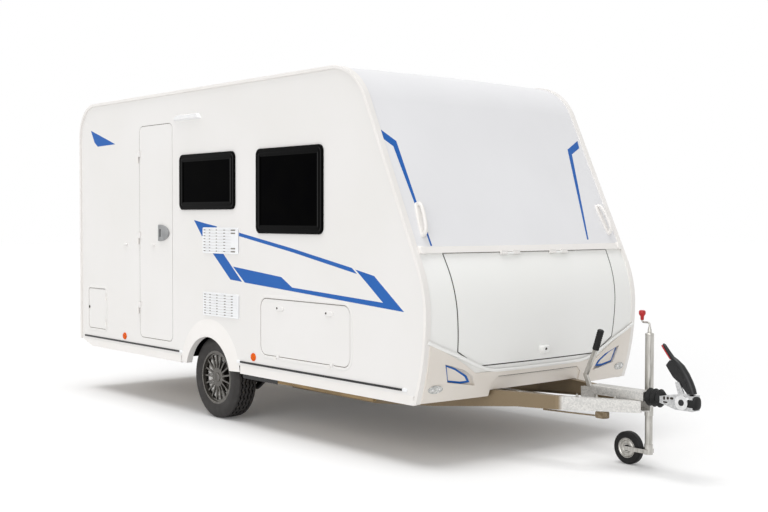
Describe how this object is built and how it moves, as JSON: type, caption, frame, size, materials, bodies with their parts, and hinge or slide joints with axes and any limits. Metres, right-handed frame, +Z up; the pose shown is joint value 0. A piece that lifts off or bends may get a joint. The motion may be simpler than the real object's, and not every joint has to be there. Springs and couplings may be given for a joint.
{
  "type": "travel caravan",
  "caption": "Single-axle touring caravan with a raked front, hinged doors and lockers, A-frame drawbar, ball coupling and jockey wheel.",
  "frame": {"origin": "on the ground under the middle of the whole length and width", "axes": "+X forward along the drawbar, +Y to the left side, +Z up"},
  "size_m": [5.942, 2.09, 2.653],
  "materials": {
    "side_skin": "warm-white glossy sandwich skin",
    "front_skin": "cool-white glossy moulding",
    "trim": "cream glossy edge moulding",
    "floor_wood": "sealed plywood sandwich",
    "window": "dark tinted acrylic",
    "frame": "satin black moulding",
    "vent": "white moulded grille",
    "amber": "amber lamp lens",
    "clear_lamp": "clear lamp lens",
    "red_lamp": "red lamp lens",
    "grey_handle": "mid-grey moulded plastic",
    "hinge_metal": "satin anodised",
    "galvanised": "hot-dip galvanised",
    "tyre": "black tyre rubber",
    "alloy": "anthracite lacquer",
    "black_rubber": "matt black rubber",
    "black_plastic": "black moulded plastic",
    "silver": "silver cast metal",
    "red_plastic": "red moulded plastic",
    "zinc": "zinc plated"
  },
  "bodies": {
    "caravan": {"arch_trims": "trim", "awning_lamp": "clear_lamp", "axle": "galvanised", "brake_linkage": "galvanised", "chassis_beams": "galvanised", "coupling_bumper": "black_rubber", "coupling_handle": "black_plastic", "coupling_head": "silver", "cross_members": "galvanised", "edge_trims": "trim", "floor_panel": "floor_wood", "front_lamps": "clear_lamp", "front_surround": "front_skin", "front_wall": "front_skin", "gaiter": "black_rubber", "grab_handles": "trim", "handbrake_lever": "zinc", "hinge_rail": "trim", "jockey_clamp": "galvanised", "jockey_crank": "zinc", "jockey_knob": "red_plastic", "jockey_mast": "zinc", "locker_bulkhead": "floor_wood", "lower_fairing": "trim", "overrun_housing": "galvanised", "rear_bumper": "trim", "rear_lamps": "red_lamp", "rear_wall": "side_skin", "roof_flue": "vent", "roof_hatch_frame": "vent", "roof_panel": "side_skin", "side_markers": "amber", "side_skirts": "trim", "side_strips": "black_plastic", "side_wall_left": "side_skin", "side_wall_right": "side_skin", "stabiliser_pads": "silver", "vent_grilles": "vent", "wall_hinges": "hinge_metal", "wheel_boxes": "black_plastic", "window_frames": "frame", "window_panes": "window"},
    "wheel_right": {"wheel_right": "alloy", "tyre_right": "tyre"},
    "wheel_left": {"wheel_left": "alloy", "tyre_left": "tyre"},
    "entry_door": {"entry_door": "side_skin", "door_handle": "grey_handle"},
    "side_locker_door": {"side_locker_door": "side_skin"},
    "service_hatch": {"service_hatch": "side_skin"},
    "gas_locker_lid": {"gas_locker_lid": "front_skin"},
    "roof_hatch_lid": {"roof_hatch_lid": "vent"},
    "steady_front_right": {"steady_front_right": "galvanised"},
    "steady_front_left": {"steady_front_left": "galvanised"},
    "steady_rear_right": {"steady_rear_right": "galvanised"},
    "steady_rear_left": {"steady_rear_left": "galvanised"},
    "jockey_leg": {"jockey_leg": "zinc"},
    "jockey_fork": {"jockey_fork": "zinc"},
    "jockey_wheel": {"jockey_wheel": "black_rubber"}
  },
  "joints": [
    {"name": "wheel_right_spin", "type": "hinge", "parent": "caravan", "child": "wheel_right", "pos_m": [-0.763, 0, 0.318], "axis": [0, 1, 0], "continuous": true},
    {"name": "wheel_left_spin", "type": "hinge", "parent": "caravan", "child": "wheel_left", "pos_m": [-0.763, 0, 0.318], "axis": [0, 1, 0], "continuous": true},
    {"name": "entry_door_hinge", "type": "hinge", "parent": "caravan", "child": "entry_door", "pos_m": [-1.876, -1.033, 1.4], "axis": [0, 0, -1], "range_deg": [0, 170]},
    {"name": "side_locker_door_hinge", "type": "hinge", "parent": "caravan", "child": "side_locker_door", "pos_m": [0.456, -1.031, 0.565], "axis": [1, 0, 0], "range_deg": [0, 120]},
    {"name": "service_hatch_hinge", "type": "hinge", "parent": "caravan", "child": "service_hatch", "pos_m": [-2.482, -1.031, 0.746], "axis": [0, 0, 1], "range_deg": [0, 90]},
    {"name": "gas_locker_lid_hinge", "type": "hinge", "parent": "caravan", "child": "gas_locker_lid", "pos_m": [1.67823, 0, 1.336], "axis": [0, -1, 0], "range_deg": [0, 75]},
    {"name": "roof_hatch_lid_hinge", "type": "hinge", "parent": "caravan", "child": "roof_hatch_lid", "pos_m": [-1.305, 0, 2.606], "axis": [0, -1, 0], "range_deg": [0, 50]},
    {"name": "steady_front_right_hinge", "type": "hinge", "parent": "caravan", "child": "steady_front_right", "pos_m": [1, -0.8, 0.42], "axis": [0, 1, 0], "range_deg": [0, 66]},
    {"name": "steady_front_left_hinge", "type": "hinge", "parent": "caravan", "child": "steady_front_left", "pos_m": [1, 0.8, 0.42], "axis": [0, 1, 0], "range_deg": [0, 66]},
    {"name": "steady_rear_right_hinge", "type": "hinge", "parent": "caravan", "child": "steady_rear_right", "pos_m": [-2.23, -0.8, 0.42], "axis": [0, -1, 0], "range_deg": [0, 66]},
    {"name": "steady_rear_left_hinge", "type": "hinge", "parent": "caravan", "child": "steady_rear_left", "pos_m": [-2.23, 0.8, 0.42], "axis": [0, -1, 0], "range_deg": [0, 66]},
    {"name": "jockey_leg_slide", "type": "slide", "parent": "caravan", "child": "jockey_leg", "axis": [0, 0, 1], "range_m": [-0.1, 0.15]},
    {"name": "jockey_fork_swivel", "type": "hinge", "parent": "jockey_leg", "child": "jockey_fork", "pos_m": [2.508, 0.146, 0.12], "axis": [0, 0, 1], "continuous": true},
    {"name": "jockey_wheel_spin", "type": "hinge", "parent": "jockey_fork", "child": "jockey_wheel", "pos_m": [2.356, 0.146, 0.105], "axis": [0, 1, 0], "continuous": true}
  ]
}
